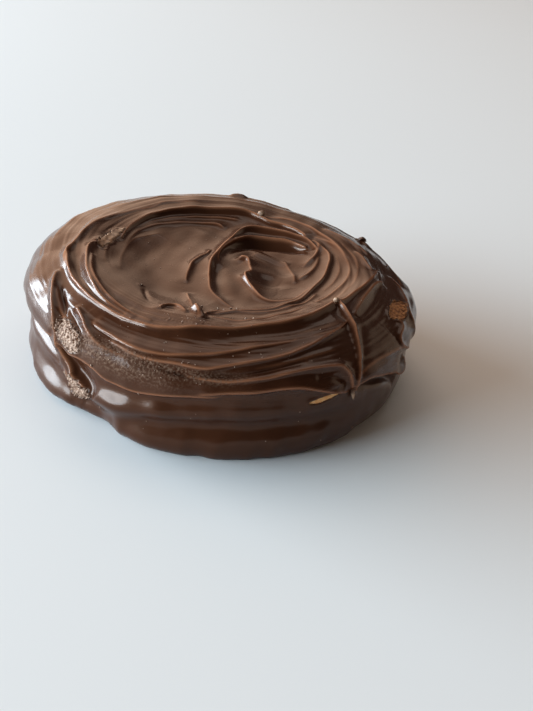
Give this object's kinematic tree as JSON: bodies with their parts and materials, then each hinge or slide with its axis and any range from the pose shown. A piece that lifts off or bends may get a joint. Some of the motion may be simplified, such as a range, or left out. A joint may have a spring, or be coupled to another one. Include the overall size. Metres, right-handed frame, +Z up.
{
  "type": "chocolate sandwich cookie",
  "caption": "Round sandwich cookie: biscuits with cream between them, wholly covered by a glossy, hand-spread chocolate coat with swirled knife marks and small tears.",
  "frame": {"origin": "on the flat foot, under the middle of the coat's box", "axes": "+Z up out of the swirled top, +X to the right in the picture, -Y towards the picture's viewer"},
  "size_m": [0.0748, 0.0758, 0.0216],
  "materials": {
    "chocolate": "glossy set chocolate with knife marks",
    "baked_biscuit": "dry, crumbly, golden brown",
    "cream": "soft, slightly oily cream"
  },
  "bodies": {
    "root": {"chocolate_coat": "chocolate", "top_biscuit": "baked_biscuit", "cream_filling": "cream", "bottom_biscuit": "baked_biscuit"}
  },
  "joints": []
}
